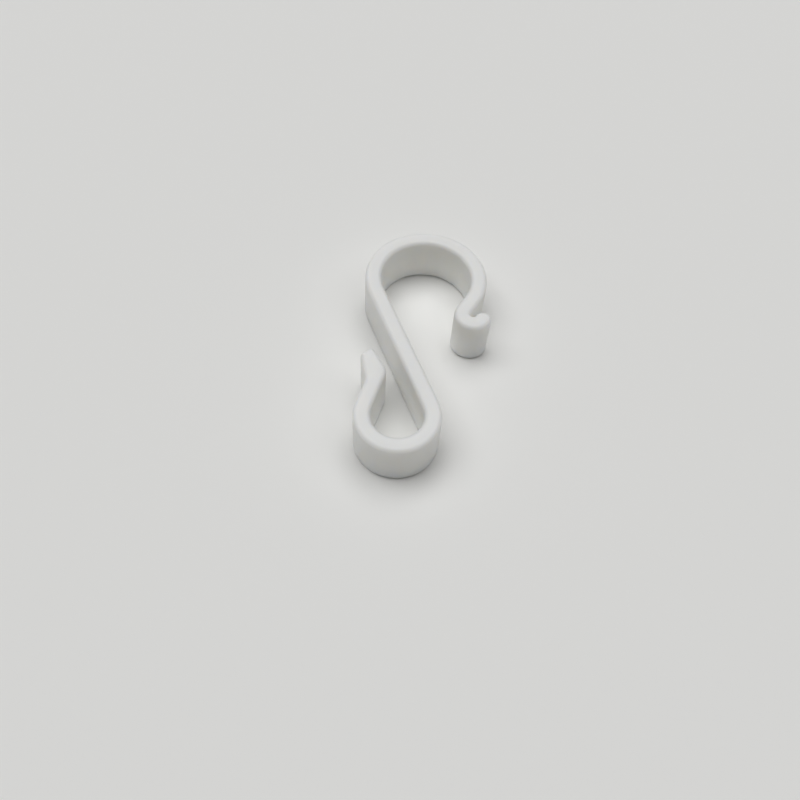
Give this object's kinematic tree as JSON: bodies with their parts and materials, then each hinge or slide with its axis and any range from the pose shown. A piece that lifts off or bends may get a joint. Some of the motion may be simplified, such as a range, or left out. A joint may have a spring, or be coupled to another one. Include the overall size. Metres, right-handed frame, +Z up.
{
  "type": "gutter light hook",
  "caption": "S-shaped plastic strip: a large open loop with a curled lead-in clips over a gutter's edge, and a small loop with a narrow neck and flared lip holds a light string's lead.",
  "frame": {"origin": "on the surface the hook lies on, under the middle of its bounding box", "axes": "+Z up across the strip's width, +Y along the hook towards the large loop, +X towards the curl at the large loop's end"},
  "size_m": [0.0262, 0.0534, 0.01],
  "materials": {
    "white_plastic": "satin, as moulded"
  },
  "bodies": {
    "root": {"hook_body": "white_plastic"}
  },
  "joints": []
}
